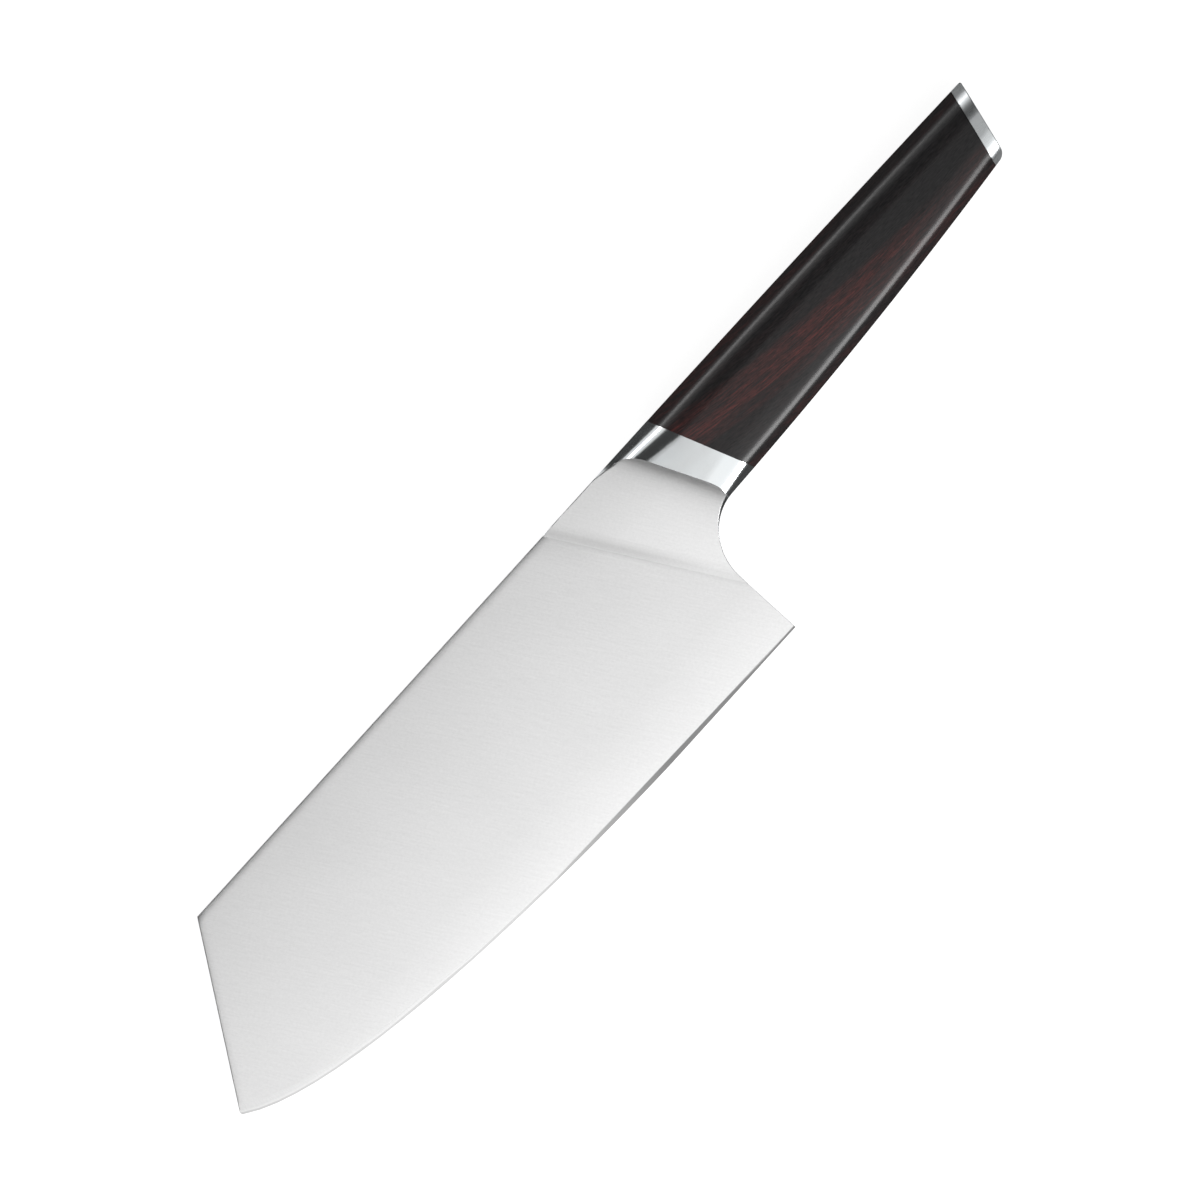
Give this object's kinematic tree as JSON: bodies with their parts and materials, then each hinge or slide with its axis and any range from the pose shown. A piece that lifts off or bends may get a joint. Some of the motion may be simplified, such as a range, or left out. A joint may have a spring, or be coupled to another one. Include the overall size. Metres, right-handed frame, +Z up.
{
  "type": "nakiri knife",
  "caption": "Nakiri kitchen knife with a satin steel blade, a polished ramped bolster, a dark wood handle and a slanted steel end cap.",
  "frame": {"origin": "centre of the knife's footprint, on the surface that it lies on", "axes": "+X along the knife toward the butt of the handle, +Y from the cutting edge toward the spine, +Z up, square to the blade"},
  "size_m": [0.302, 0.0602, 0.018],
  "materials": {
    "satin_steel": "satin",
    "polished_steel": "polished",
    "dark_wood": "oiled and buffed",
    "resin": "cured, clear amber",
    "fastener_steel": "plain"
  },
  "bodies": {
    "root": {"blade": "satin_steel", "bolster": "polished_steel", "handle_block": "dark_wood", "tang_bedding": "resin", "tang_washer": "fastener_steel", "tang_nut": "fastener_steel", "end_cap": "polished_steel", "cap_peg_upper": "fastener_steel", "cap_peg_lower": "fastener_steel"}
  },
  "joints": []
}
